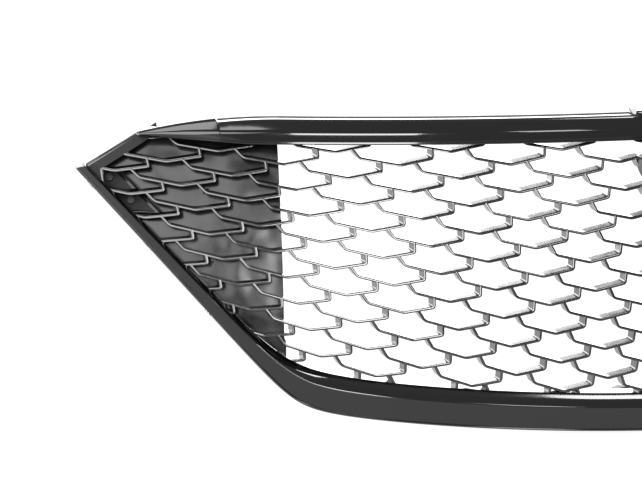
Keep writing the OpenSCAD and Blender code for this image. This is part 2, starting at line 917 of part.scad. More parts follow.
module retainer_pin(z) {
  c = cos(tilt(z));
  on_face(retainer_x(z), z) {
    translate([0, 0, (retainer_tip - 0.3) * c])
      cylinder(r = pin_r, h = (border_back - retainer_tip + 0.3) * c + 2);
    translate([0, 0, border_back * c + gap + 1.7]) cylinder(r = 4.2, h = 1.2);
  }
}

module retainer_bodies_left() {
  color(satin) placed() mirror([1, 0, 0]) for (z = retainer_rows) retainer_body(z);
}

module retainer_bodies_right() {
  color(satin) placed() for (z = retainer_rows) retainer_body(z);
}

module retainer_pin_left_lower() {
  color(satin) placed() mirror([1, 0, 0]) retainer_pin(retainer_rows[0]);
}

module retainer_pin_left_upper() {
  color(satin) placed() mirror([1, 0, 0]) retainer_pin(retainer_rows[1]);
}

module retainer_pin_right_lower() {
  color(satin) placed() retainer_pin(retainer_rows[0]);
}

module retainer_pin_right_upper() {
  color(satin) placed() retainer_pin(retainer_rows[1]);
}

mesh_insert();
upper_molding();
lower_molding();
blanking_panel_left();
blanking_panel_right();
badge_base();
badge_blank();
badge_screws();
upper_bracket();
lower_rail();
side_bracket_left();
side_bracket_right();
upper_seal_left();
upper_seal_right();
anti_rattle_pads();
upper_molding_screws();
lower_molding_screws();
panel_screws_left();
panel_screws_right();
side_bracket_screws_left();
side_bracket_screws_right();
molding_clips_left();
molding_clips_right();
retainer_bodies_left();
retainer_bodies_right();
retainer_pin_left_lower();
retainer_pin_left_upper();
retainer_pin_right_lower();
retainer_pin_right_upper();
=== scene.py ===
"""Looks of the front grille: smooth mesh, moldings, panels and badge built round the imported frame.

Lengths are in millimetres in the grille's own frame, where the face meets the centre line at Y = 0 and Z = 0,
and placed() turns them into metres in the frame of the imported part.
"""

import json
import math

import bmesh
import bpy
import numpy as np
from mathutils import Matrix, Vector


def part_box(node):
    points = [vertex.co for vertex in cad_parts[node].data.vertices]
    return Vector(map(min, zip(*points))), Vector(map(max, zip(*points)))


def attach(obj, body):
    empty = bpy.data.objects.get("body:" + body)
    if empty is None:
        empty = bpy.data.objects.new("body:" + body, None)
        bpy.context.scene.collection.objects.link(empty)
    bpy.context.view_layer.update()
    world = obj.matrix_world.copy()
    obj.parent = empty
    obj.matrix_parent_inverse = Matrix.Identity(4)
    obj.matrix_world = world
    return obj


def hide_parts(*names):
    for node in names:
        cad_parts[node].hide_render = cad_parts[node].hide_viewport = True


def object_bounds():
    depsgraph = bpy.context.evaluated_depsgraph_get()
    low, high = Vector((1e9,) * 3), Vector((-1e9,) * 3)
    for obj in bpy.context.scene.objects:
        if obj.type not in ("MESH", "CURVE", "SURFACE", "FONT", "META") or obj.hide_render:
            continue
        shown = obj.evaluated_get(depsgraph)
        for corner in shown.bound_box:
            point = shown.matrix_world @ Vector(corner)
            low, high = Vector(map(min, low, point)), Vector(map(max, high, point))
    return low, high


MM = 0.001
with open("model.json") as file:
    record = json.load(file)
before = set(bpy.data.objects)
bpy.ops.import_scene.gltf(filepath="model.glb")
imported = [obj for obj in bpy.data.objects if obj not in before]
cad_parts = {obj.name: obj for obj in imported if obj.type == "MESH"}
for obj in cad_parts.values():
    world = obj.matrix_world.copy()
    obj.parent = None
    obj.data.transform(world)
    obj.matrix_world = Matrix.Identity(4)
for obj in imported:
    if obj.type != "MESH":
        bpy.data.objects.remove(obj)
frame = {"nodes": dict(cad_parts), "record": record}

# The face is a surface of revolution that leans back with height.
PLAN_R = 1190.0
LEAN_TOP = 63.0
LEAN_H = 230.0

# Edges
OUTER_Z, OUTER_SLOPE, OUTER_FOOT, OUTER_ROUND = -36.5, 1.225, 399.5, 12.0
INNER_Z, INNER_SLOPE, INNER_FOOT, INNER_ROUND = -3.7, 1.149, 377.4, 15.5
BOTTOM_RISE = 0.000145
TOP_Z = 238.0
LIP_Z = 214.0
TOP_BOW_FROM, TOP_BOW = 380.0, 16 / 123**2
WING_X, WING_Z, WING_FALL = 499.0, 219.0, 0.63
END_FROM, WINDOW_CLIMB, LIP_CLIMB = 413.0, 0.05, 0.06
WINDOW_HALF = 531.0
BAND_HALF = 545.0
WING_WEB = 8.5
WING_LIP = 1.5
WEB_SUNK = 1.1

# Mesh
FIRST_ROW_Z, ROW_PITCH, ROW_GROWTH, ROW_LOSS = 207.0, 23.0, 0.21, 0.04
PITCH_LOW, PITCH_HIGH, FAN_POWER = 39.5, 49.6, 1.2
COLUMNS, ROWS = 12, 10
STRAND_PATH = [(-0.70, -0.622), (-0.64, -0.26), (0, 0), (0.64, -0.26), (0.70, -0.622)]
STRAND_WIDE = 2.5
STRAND_DEEP = 14.0
STRAND_CORNER = 2.2
CROWN_RADIUS, CROWN_ANGLE = 2.9, 20
INTO_WALL = 1.3
RIM_DEEP = 20.0
BAND_THICK = 4.0
EARS = [(402.0, 226.0), (455.0, 224.0)]

# Blanking panels
PANEL_EDGE, PANEL_CURVE = 393.0, 10.0
PANEL_DEPTH = 9.6
PANEL_WALL = 2.4
POCKET_DEPTH = 20.0
POCKET_Z = (150.0, 188.0)
POCKET_WIDE = 25.2
ROLLED_EDGE, ROLLED_WIDE = 0.9, 2.4
POCKET_STEP = 1.3
SIDE_POSTS = [(446.0, 110.0), (446.0, 170.0)]
SIDE_POST_END = 151.9

# Moldings
SKIN = 2.6
UPPER_HALF = 501.0
RECESS, RECESS_FROM, RECESS_TO = 3.2, 77.0, 436.0
LOWER_HALF, LOWER_INNER_HALF = 554.0, 545.5

# Badge
BADGE_HALF = (80.0, 42.0)
BADGE_Z = 196.0
BADGE_TILT = math.radians(23.2)


# The lower molding's lowest front corner on the centre line, which ties the two frames together.
LOWER_FACE = 12.0
OUTER_LOW_Z = -36.17


def part_origin():
    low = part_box("lower_molding")[0]
    return np.array([0.0, -LOWER_FACE - low[1] / MM, OUTER_LOW_Z - low[2] / MM])


PART_ORIGIN = part_origin()


# ---- the face and its edges ----
def lean(z):
    return LEAN_TOP * (np.maximum(z, 0) / LEAN_H) ** 2


def face_y(x, z, depth=0.0):
    """Place along Y of the shell that lies depth behind the face."""
    return PLAN_R - np.sqrt((PLAN_R - lean(z) - depth) ** 2 - x**2)


def placed(x, y, z):
    """Points of the grille's own frame, in the part's frame and in metres."""
    return (np.stack(np.broadcast_arrays(x, y, z), -1) - PART_ORIGIN) * MM


def on_face(x, z, depth=0.0):
    return placed(x, face_y(x, z, depth), z)


def rounded_max(a, b, radius):
    return (a + b) / 2 + np.sqrt(((a - b) / 2) ** 2 + radius**2)


def outer_edge(x):
    return rounded_max(OUTER_Z + BOTTOM_RISE * x**2, OUTER_SLOPE * (np.abs(x) - OUTER_FOOT), OUTER_ROUND)


def inner_edge(x):
    return rounded_max(INNER_Z + BOTTOM_RISE * x**2, INNER_SLOPE * (np.abs(x) - INNER_FOOT), INNER_ROUND)


def past_end(x):
    return np.maximum(np.abs(x) - END_FROM, 0)


def top_edge(x):
    return TOP_Z - TOP_BOW * np.maximum(np.abs(x) - TOP_BOW_FROM, 0) ** 2


def wing_edge(x):
    return WING_Z - WING_FALL * (np.abs(x) - WING_X)


def window_top(x):
    return np.minimum(LIP_Z + 3 + WINDOW_CLIMB * past_end(x), wing_edge(x) - WING_WEB)


def band_top(x):
    return np.minimum(top_edge(x) - 5, wing_edge(x) + WING_LIP)


def mirrored(values):
    values = np.asarray(values, float)
    return np.concatenate([-values[:0:-1], values])


def smooth_step(value, low, high):
    t = np.clip((value - low) / (high - low), 0, 1)
    return t * t * (3 - 2 * t)


# ---- outlines ----
def unit(v):
    return v / np.maximum(np.linalg.norm(v, axis=-1, keepdims=True), 1e-9)


def rounded(corners, radii, steps=4):
    """Closed outlines (..., corner, 2) with every corner replaced by a curve that starts its radius away."""
    before = np.roll(corners, 1, axis=-2) - corners
    after = np.roll(corners, -1, axis=-2) - corners
    shortest = np.minimum(np.linalg.norm(before, axis=-1), np.linalg.norm(after, axis=-1))
    reach = np.minimum(np.asarray(radii, float), 0.45 * shortest)[..., None]
    start = corners + unit(before) * reach
    end = corners + unit(after) * reach
    pieces = []
    for t in np.linspace(0, 1, steps):
        pieces.append((1 - t) ** 2 * start + 2 * t * (1 - t) * corners + t**2 * end)
    stacked = np.stack(pieces, -2)
    return stacked.reshape(*stacked.shape[:-3], -1, 2)


def side_normals(path, closed=False):
    """Mitred normals to the left of a path of points (n, 2)."""
    ahead = unit(np.roll(path, -1, axis=0) - path)
    behind = np.roll(ahead, 1, axis=0)
    if not closed:
        ahead[-1] = behind[-1]
        behind[0] = ahead[0]
    left_ahead = np.stack([-ahead[:, 1], ahead[:, 0]], -1)
    left_behind = np.stack([-behind[:, 1], behind[:, 0]], -1)
    both = left_ahead + left_behind
    return both / (1 + np.sum(left_ahead * left_behind, -1, keepdims=True))


class Surface:
    """Collects grids of points and makes one smooth mesh object of them."""

    def __init__(self):
        self.points = []
        self.faces = []
        self.count = 0

    def grid(self, points, close_rows=False, close_cols=False, caps=False):
        rows, cols = points.shape[:2]
        index = self.count + np.arange(rows * cols).reshape(rows, cols)
        self.points.append(points.reshape(-1, 3))
        self.count += rows * cols
        last_row = rows if close_rows else rows - 1
        last_col = cols if close_cols else cols - 1
        r0, c0 = np.meshgrid(np.arange(last_row), np.arange(last_col), indexing="ij")
        r1, c1 = (r0 + 1) % rows, (c0 + 1) % cols
        quads = np.stack([index[r0, c0], index[r0, c1], index[r1, c1], index[r1, c0]], -1)
        self.faces.extend(quads.reshape(-1, 4).tolist())
        if caps:
            self.faces.append(index[0][::-1].tolist())
            self.faces.append(index[-1].tolist())

    def build(self, name, material, sharp_angle=38):
        mesh = bpy.data.meshes.new(name)
        mesh.from_pydata(np.concatenate(self.points).tolist(), [], self.faces)
        shape = bmesh.new()
        shape.from_mesh(mesh)
        bmesh.ops.remove_doubles(shape, verts=shape.verts, dist=2e-6)
        bmesh.ops.dissolve_degenerate(shape, edges=shape.edges, dist=1e-6)
        bmesh.ops.recalc_face_normals(shape, faces=shape.faces)
        shape.to_mesh(mesh)
        shape.free()
        mesh.shade_smooth()
        mesh.set_sharp_from_angle(angle=math.radians(sharp_angle))
        mesh.materials.append(material)
        piece = bpy.data.objects.new(name, mesh)
        bpy.context.scene.collection.objects.link(piece)
        weighted = piece.modifiers.new("weighted_normals", "WEIGHTED_NORMAL")
        weighted.keep_sharp = True
        return piece


# ---- badge frame ----
def badge_point(across, up, depth):
    """Point of the badge's own tilted frame; depth is positive to the rear."""
    y = face_y(0.0, BADGE_Z) + up * math.sin(BADGE_TILT) + depth * math.cos(BADGE_TILT)
    z = BADGE_Z + up * math.cos(BADGE_TILT) - depth * math.sin(BADGE_TILT)
    return placed(across, y, z)


def badge_distance(x, z, depth):
    """How far out of the badge's oval a place is: 1 on the outline, in units of its half axes."""
    y = face_y(x, z, depth) - face_y(0.0, BADGE_Z)
    up = (z - BADGE_Z) * math.cos(BADGE_TILT) + y * math.sin(BADGE_TILT)
    return np.hypot(x / (BADGE_HALF[0] - 2), up / (BADGE_HALF[1] - 2))


def oval_rings(half, rings, place, count=96):
    """Rings of an oval, each as (growth, depth), put in place by place(across, up, depth)."""
    angle = np.linspace(0, 2 * math.pi, count, endpoint=False)
    rows = []
    for grow, depth in rings:
        rows.append(place((half[0] + grow) * np.cos(angle), (half[1] + grow) * np.sin(angle), depth))
    return np.stack(rows)


# ---- mesh insert ----
def lattice(u, v):
    """The place on the face, as x and z, of column u and row v."""
    z = FIRST_ROW_Z - v * (ROW_PITCH + ROW_GROWTH * v - ROW_LOSS * u * u)
    fan = (np.maximum(z, 0) / LEAN_H) ** FAN_POWER
    return u * (PITCH_LOW + (PITCH_HIGH - PITCH_LOW) * fan), z


def rounded_path(points, radius, steps=4):
    """An open path whose inner corners are rounded."""
    line = [points[0]]
    for before, corner, after in zip(points[:-2], points[1:-1], points[2:]):
        start = corner + unit(before - corner) * radius
        end = corner + unit(after - corner) * radius
        for t in np.linspace(0, 1, steps):
            line.append((1 - t) ** 2 * start + 2 * t * (1 - t) * corner + t**2 * end)
    line.append(points[-1])
    return np.array(line)


def strand_section(deep):
    """Section of a strand as (sideways, depth): crowned front, flat sides, small chamfers at the back."""
    half = STRAND_WIDE / 2
    angle = np.radians(np.linspace(CROWN_ANGLE, -CROWN_ANGLE, 9))
    crown = [(CROWN_RADIUS * math.sin(a), CROWN_RADIUS * (1 - math.cos(a))) for a in angle]
    side = [(half - 0.08, 0.34), (half, 0.62)]
    front = side[::-1] + crown + [(-x, depth) for x, depth in side]
    back = [(-half, deep - 0.4), (-half + 0.4, deep), (half - 0.4, deep), (half, deep - 0.4)]
    return np.array(front + back)


def clearance(x, z):
    """Positive where a strand may be: inside the mesh window and outside the badge."""
    inside = np.minimum(np.minimum(z - inner_edge(x), window_top(x) - z), WINDOW_HALF - np.abs(x))
    return np.minimum(inside + INTO_WALL, (badge_distance(x, z, 3.0) - 1) * BADGE_HALF[1])


def panel_edge(z):
    return PANEL_EDGE - PANEL_CURVE * (z / LEAN_H) ** 2


def inner_edge_x(z):
    """Distance from the centre line of the window's sloping side at the height z."""
    return INNER_FOOT + z / INNER_SLOPE


def over_panel(x, z):
    """True where a blanking panel lies close behind the mesh."""
    pocket = np.abs(x) > inner_edge_x(z) - POCKET_WIDE + 1
    pocket = pocket & (z > POCKET_Z[0] + 2.5) & (z < POCKET_Z[1] - 2.5)
    return (np.abs(x) > panel_edge(z) - 0.6) & ~pocket


def add_strand(surface, u, v):
    corners = np.array([lattice(u + du, v + dv) for du, dv in STRAND_PATH])
    path = rounded_path(corners, STRAND_CORNER)
    lengths = np.concatenate([[0], np.cumsum(np.linalg.norm(np.diff(path, axis=0), axis=1))])
    normals = side_normals(path)
    fine = np.arange(0, lengths[-1], 0.25)

    def at(s, side):
        x = np.interp(s, lengths, path[:, 0]) + side * np.interp(s, lengths, normals[:, 0])
        z = np.interp(s, lengths, path[:, 1]) + side * np.interp(s, lengths, normals[:, 1])
        return x, z

    clear = clearance(*at(fine, 0.0)) > 0
    changes = np.flatnonzero(np.diff(clear.astype(int))) + 1
    bounds = [0, *changes.tolist(), len(fine)]
    for low, high in zip(bounds[:-1], bounds[1:]):
        if clear[low] and high - low > 6:
            add_strand_run(surface, at, lengths, fine, low, high)


def add_strand_run(surface, at, lengths, fine, low, high):
    """One stretch of a strand between the places where it enters the walls."""
    start, end = fine[low], (lengths[-1] if high == len(fine) else fine[high - 1])
    stations = [start, *[s for s in lengths if start < s < end], end]
    backed = over_panel(*at(fine, 0.0))
    for i in np.flatnonzero(np.diff(backed.astype(int))):
        if start < fine[i] < end:
            stations += [fine[i], fine[i] + 0.1]
    stations = np.array(sorted(stations))
    section = strand_section(STRAND_DEEP)
    deep = np.where(over_panel(*at(stations, 0.0)), STRAND_DEEP - PANEL_DEPTH + 0.1, 0.0)
    rows = []
    for side, depth in section:
        first, last = start, end
        if low > 0:
            near = fine[(fine > start - 6) & (fine < start + 6)]
            first = near[np.argmax(clearance(*at(near, side)) > 0)]
        if high < len(fine):
            near = fine[(fine > end - 6) & (fine < end + 6)][::-1]
            last = near[np.argmax(clearance(*at(near, side)) > 0)]
        x, z = at(np.clip(stations, first, max(first, last)), side)
        rows.append(on_face(x, z, depth - deep * (depth > STRAND_DEEP / 2)))
    surface.grid(np.stack(rows, 1), close_cols=True, caps=True)


def window_steps():
    """Distances across the window from one wing tip to the other, close together where its corners turn."""
    return mirrored(np.concatenate([
        np.arange(0, 300, 12),
        np.arange(300, 430, 5),
        np.arange(430, 482, 9),
        [483],
        np.arange(492, WINDOW_HALF - 4, 9),
        [WINDOW_HALF],
    ]))


def web_part(x, z):
    """1 on the web along a wing's upper edge, 0 elsewhere."""
    foot = wing_edge(x) - WING_WEB
    return smooth_step(np.abs(x), 482, 488) * smooth_step(z, foot - 2, foot)


def add_rim(surface):
    xs = window_steps()
    bottom = np.stack([xs, inner_edge(xs)], -1)
    top = np.stack([xs, window_top(xs)], -1)[::-1]
    path = np.concatenate([bottom, top])
    normals = side_normals(path, closed=True)
    half = STRAND_WIDE / 2
    out, up = np.abs(path[:, 0]), path[:, 1]
    upper_wall = smooth_step(out, 479, 482) * smooth_step(up, 187, 190)
    tip_wall = smooth_step(out, 524, 526) * smooth_step(up, 167, 169)
    cut = (RIM_DEEP - PANEL_DEPTH + 0.1) * np.maximum(upper_wall, tip_wall)
    sunk = WEB_SUNK * web_part(path[:, 0], path[:, 1])
    rows = []
    for side, depth in strand_section(RIM_DEEP):
        p = path - normals * (half + side)
        rows.append(on_face(p[:, 0], p[:, 1], depth - cut * (depth > RIM_DEEP / 2) + sunk * (depth < 2)))
    surface.grid(np.stack(rows, 1), close_rows=True, close_cols=True)


def add_band(surface):
    """Flange outside the rim on which moldings and brackets are screwed."""
    xs = window_steps()
    wide = xs * BAND_HALF / WINDOW_HALF
    inner_low = np.stack([xs, inner_edge(xs) - 1.5], -1)
    inner_high = np.stack([xs, window_top(xs) + 1.5], -1)[::-1]
    inner = np.concatenate([inner_low, inner_high])
    low = np.stack([wide, outer_edge(wide) + 7], -1)
    high = np.stack([wide, np.maximum(band_top(wide), window_top(xs) + 2)], -1)[::-1]
    outer = np.concatenate([low, high])
    web = web_part(outer[:, 0], outer[:, 1])
    edge = unit(inner - outer)
    front = 0.6 + (WEB_SUNK - 0.6) * web
    lip = front - (front - 0.1) * web
    back = BAND_THICK - web
    section = [
        (inner, front), (outer + edge * 1.5, front), (outer + edge * 1.2, lip), (outer + edge * 0.3, lip),
        (outer, lip + 0.3), (outer, back), (outer + edge * 3, back), (inner, 0 * web + BAND_THICK),
    ]
    rows = []
    for line, depth in section:
        rows.append(on_face(line[:, 0], line[:, 1], depth))
    surface.grid(np.stack(rows, 1), close_rows=True, close_cols=True)


def add_badge_seat(surface):
    rings = [(-60, 6.1), (-1.4, 6.1), (-1, 6.4), (-1, 8.6), (-1.4, 9.0), (-60, 9.0)]
    flat = [(max(grow, -40.9), depth) for grow, depth in rings]
    surface.grid(oval_rings(BADGE_HALF, flat, badge_point), close_cols=True, caps=True)


def face_frame(x, z):
    """place(across, up, depth) of a small round feature that stands square to the face."""
    turn = math.asin(x / (PLAN_R - lean(z)))
    slope = math.atan(2 * LEAN_TOP * max(z, 0) / LEAN_H**2)
    rear = np.array([-math.sin(turn) * math.cos(slope), math.cos(turn) * math.cos(slope), -math.sin(slope)])
    side = np.array([math.cos(turn), math.sin(turn), 0.0])
    up = np.cross(side, rear)
    foot = np.array([x, face_y(x, z), z])

    def place(across, height, depth):
        p = foot + np.outer(across, side) + np.outer(height, up) + depth * rear
        return placed(p[:, 0], p[:, 1], p[:, 2])

    return place


def add_ear_posts(surface):
    for x, z in EARS:
        for side in (-1, 1):
            rings = [(0, BAND_THICK - 1), (0, 8.6), (-0.5, 8.9)]
            surface.grid(
                oval_rings((4.5, 4.5), rings, face_frame(side * x, z), 32), close_cols=True, caps=True
            )


def add_wing_webs(surface):
    """The recessed web inside the thin lip along each wing's upper edge."""
    x = np.linspace(483, BAND_HALF - 1.2, 24)
    low = np.minimum(wing_edge(x) - WING_WEB, LIP_Z + 5)
    low = np.where(x > WINDOW_HALF, np.maximum(inner_edge(x) - 3, low - 14 * (x - WINDOW_HALF)), low)
    high = wing_edge(x) - 0.3
    for side in (-1, 1):
        rows = []
        for across, depth in ((0.0, WEB_SUNK - 0.15), (1.0, WEB_SUNK - 0.15), (1.0, 2.9), (0.0, 2.9)):
            rows.append(on_face(side * x, low + (high - low) * across, depth))
        surface.grid(np.stack(rows, 1), close_cols=True, caps=True)


def add_wing_ledges(surface):
    z = np.linspace(POCKET_Z[0] + 3.4, POCKET_Z[1] - 3.4, 9)
    for side in (-1, 1):
        rows = []
        for inboard, depth in ((0.0, 17.4), (POCKET_WIDE - 4, 17.4), (POCKET_WIDE - 4, 19.9), (0.0, 19.9)):
            rows.append(on_face(side * np.minimum(inner_edge_x(z) - inboard, WINDOW_HALF + 1), z, depth))
        surface.grid(np.stack(rows, 1), close_cols=True, caps=True)


def make_mesh_insert(material):
    surface = Surface()
    for u in range(-COLUMNS, COLUMNS + 1):
        for row in range(-1, ROWS + 1):
            add_strand(surface, u, row + (0.5 if u % 2 == 0 else 0.0))
    add_rim(surface)
    add_band(surface)
    add_badge_seat(surface)
    add_ear_posts(surface)
    return surface.build("mesh_insert_smooth", material)


def make_mesh_webs(material):
    surface = Surface()
    add_wing_webs(surface)
    add_wing_ledges(surface)
    return surface.build("mesh_webs_smooth", material)


# ---- upper molding ----
def upper_section(x):
    """Section at each x as (ahead of the face, height), round the front and back along the inside."""
    low = LIP_Z + LIP_CLIMB * past_end(x)
    in_recess = smooth_step(x, RECESS_FROM - 1, RECESS_FROM + 1)
    past_recess = smooth_step(x, RECESS_TO - 1, RECESS_TO + 1)
    sunk = in_recess * (1 - past_recess)
    top = top_edge(x) - RECESS * sunk
    part = (top_edge(x) - low) / (TOP_Z - LIP_Z)
    crease_z = low + 11 * part
    crease = 13 - 0.444 * (225 - crease_z)
    crown = crease - 3 * part
    return_end = 0.1 - 16.1 * (1 - in_recess) - 2 * past_recess
    lip = 9 - 0.3 * (1 - part)
    corners = [
        (0.1 + 0 * x, low),
        (lip - 1.6, low),
        (lip - 0.9, low + 0.8 * part),
        (lip - 0.3, low + 2.6 * part),
        (lip + 0.6, low + 3.0 * part),
        (crease, crease_z),
        (crown, top - 1.5 * part),
        (crown - 2, top),
        (return_end, top),
        (return_end, top - SKIN * part),
        (crown - 3.6, top - SKIN * part),
        (crease - 2.9, crease_z),
        (lip - 3.4, low + SKIN * part),
        (0.1 + 0 * x, low + SKIN * part),
    ]
    radii = [0.1, 0.5, 0.35, 0.2, 0.3, 2.4, 1.0, 0.8, 0.3, 0.3, 1.0, 1.5, 0.8, 0.1]
    return rounded(np.stack([np.stack(c, -1) for c in corners], 1), radii)


def make_upper_molding(material):
    surface = Surface()
    xs = np.concatenate([
        np.arange(0, 76, 4), [76, 76.7, 77.3, 78], np.arange(82, 430, 8),
        [435, 435.7, 436.3, 437], np.arange(442, 501, 4), [UPPER_HALF],
    ])
    section = upper_section(xs)
    ahead, height = section[..., 0], section[..., 1]
    up = (height - BADGE_Z) * math.cos(BADGE_TILT)
    up = up + (face_y(0.0, height, -ahead) - face_y(0.0, BADGE_Z)) * math.sin(BADGE_TILT)
    cut = (BADGE_HALF[0] + 0.4) * np.sqrt(np.clip(1 - (up / (BADGE_HALF[1] + 0.4)) ** 2, 0, 1))
    x = np.maximum(xs[:, None], cut)
    half = placed(x, face_y(x, height, -ahead), height)
    for side in (-1, 1):
        surface.grid(half * [side, 1, 1], close_cols=True, caps=True)
    return surface.build("upper_molding_smooth", material, 30)


# ---- lower molding ----
def make_lower_molding(material):
    # fractions of the half width, close together round the bottom corner and near the tip
    t = mirrored(np.concatenate([
        np.arange(0, 0.56, 0.02),
        np.arange(0.56, 0.8, 0.006),
        np.arange(0.8, 0.975, 0.02),
        [0.982, 0.986, 0.99, 0.995, 1],
    ]))
    outer = np.stack([LOWER_HALF * t, outer_edge(LOWER_HALF * t)], -1)
    inner = np.stack([LOWER_INNER_HALF * t, inner_edge(LOWER_INNER_HALF * t)], -1)
    wide = np.linalg.norm(inner - outer, axis=-1)
    zero = 0 * t
    lip_end = -10 + 9 * smooth_step(np.abs(outer[:, 0]), 544, 549)
    corners = [
        (zero, lip_end),
        (zero, zero + 5.0),
        (zero + 1.5, zero + 6.9),
        (zero + 2.5, zero + 6.2),
        (zero + 3.1, zero + 7.3),
        (0.68 * wide, zero + 12),
        (0.84 * wide, zero + 7.6),
        (wide, zero + 0.3),
        (wide - SKIN, zero + 0.3),
        (0.84 * wide - 2.4, zero + 5.4),
        (0.68 * wide - 1.2, zero + 9.2),
        (zero + 4.6, zero + 5.2),
        (zero + SKIN, zero + 3.4),
        (zero + SKIN, lip_end),
    ]
    radii = [0.3, 1.3, 0.7, 0.3, 0.4, 1.5, 3.0, 0.4, 0.4, 2.0, 1.5, 0.5, 0.5, 0.3]
    section = rounded(np.stack([np.stack(c, -1) for c in corners], 1), radii)
    across = unit(inner - outer)[:, None, :] * section[..., :1]
    place = outer[:, None, :] + across
    points = on_face(place[..., 0], place[..., 1], -section[..., 1])
    surface = Surface()
    surface.grid(points, close_cols=True, caps=True)
    return surface.build("lower_molding_smooth", material, 30)


# ---- blanking panels ----
def panel_outer_x(z):
    """Where the panel ends outboard, at each height."""
    wing = WING_X - (z + WING_WEB - WING_Z) / WING_FALL
    xs = np.linspace(380, WINDOW_HALF, 400)
    slope = np.interp(z, inner_edge(xs), xs)
    return np.minimum(np.minimum(slope, wing) - 0.6, 528)


def make_panel(name, side, material):
    pocket_low, pocket_high = POCKET_Z
    low, high = inner_edge(390.0) + 0.6, LIP_Z + 2.5
    z = np.unique(np.concatenate([
        np.linspace(low, high, 70), [pocket_low, pocket_low + 1.5, pocket_high - 1.5, pocket_high],
    ]))
    outer = panel_outer_x(z)
    border = np.minimum(inner_edge_x(z) - POCKET_WIDE, outer - 4)
    start = panel_edge(z)
    border = np.maximum(border, start + 1)
    outer = np.maximum(outer, border + 3)
    in_pocket = smooth_step(z, pocket_low, pocket_low + 1.5)
    in_pocket = in_pocket * (1 - smooth_step(z, pocket_high - 1.5, pocket_high))
    # columns as (x, part of the pocket's depth, how far the rolled edge stands proud)
    columns = [(start + (border - ROLLED_WIDE - start) * a, 0.0, 0.0) for a in np.linspace(0, 1, 24)]
    for a in (0.2, 0.4, 0.6, 0.8, 1.0):
        columns.append((border - ROLLED_WIDE + ROLLED_WIDE * a, 0.0, ROLLED_EDGE * math.sin(math.pi * a)))
    for a in np.linspace(0, 1, 5):
        columns.append((border + POCKET_STEP + (outer - border - POCKET_STEP) * a, 1.0, 0.0))
    front, back = [], []
    for x, sunk, proud in columns:
        depth = PANEL_DEPTH + (POCKET_DEPTH - PANEL_DEPTH) * in_pocket * sunk
        front.append(on_face(side * x, z, depth - proud * in_pocket))
        back.append(on_face(side * x, z, depth + PANEL_WALL))
    surface = Surface()
    surface.grid(np.stack(front + back[::-1], 1), close_cols=True, caps=True)
    for x, top in EARS:
        ear_x = side * np.array([x - 8, x + 8, x + 8, x - 8])
        ear_z = np.linspace(LIP_Z - 3, top + 5, 4)[:, None]
        ear_depth = PANEL_DEPTH + np.array([0, 0, PANEL_WALL, PANEL_WALL])
        surface.grid(on_face(ear_x, ear_z, ear_depth), close_cols=True, caps=True)
    for x, z0 in SIDE_POSTS:
        root = float(face_y(x, z0, PANEL_DEPTH + PANEL_WALL / 2))

        def place(across, height, depth, x=x, z0=z0):
            return placed(side * x + across, depth, z0 + height)

        rings = [(0, root), (0, SIDE_POST_END - 0.5), (-0.5, SIDE_POST_END)]
        surface.grid(oval_rings((4.5, 4.5), rings, place, 32), close_cols=True, caps=True)
    return surface.build(name, material)


# ---- badge ----
def make_badge_base(material):
    rings = [
        (-2.6, 6), (-0.6, 6), (0, 5.4), (0, -12.6), (-0.2, -13.8), (-0.8, -14.7), (-1.5, -15),
        (-2.2, -14.8), (-2.8, -14.2), (-3, -13.4), (-3, -9),
    ]
    surface = Surface()
    surface.grid(oval_rings(BADGE_HALF, rings, badge_point, 144), close_cols=True, caps=True)
    return surface.build("badge_base_smooth", material)


def make_badge_blank(material):
    half = (BADGE_HALF[0] - 3.3, BADGE_HALF[1] - 3.3)
    angle = np.linspace(0, 2 * math.pi, 144, endpoint=False)
    edge = [(1.0, 9.1), (1.0, 12.0), (0.995, 12.5), (0.985, 12.8)]
    dome = [(r, 12.9 + 1.2 * (1 - r * r)) for r in np.linspace(0.97, 0.02, 24)]
    rows = []
    for r, front in edge + dome:
        rows.append(badge_point(half[0] * r * np.cos(angle), half[1] * r * np.sin(angle), -front))
    surface = Surface()
    surface.grid(np.stack(rows), close_cols=True, caps=True)
    return surface.build("badge_blank_smooth", material)


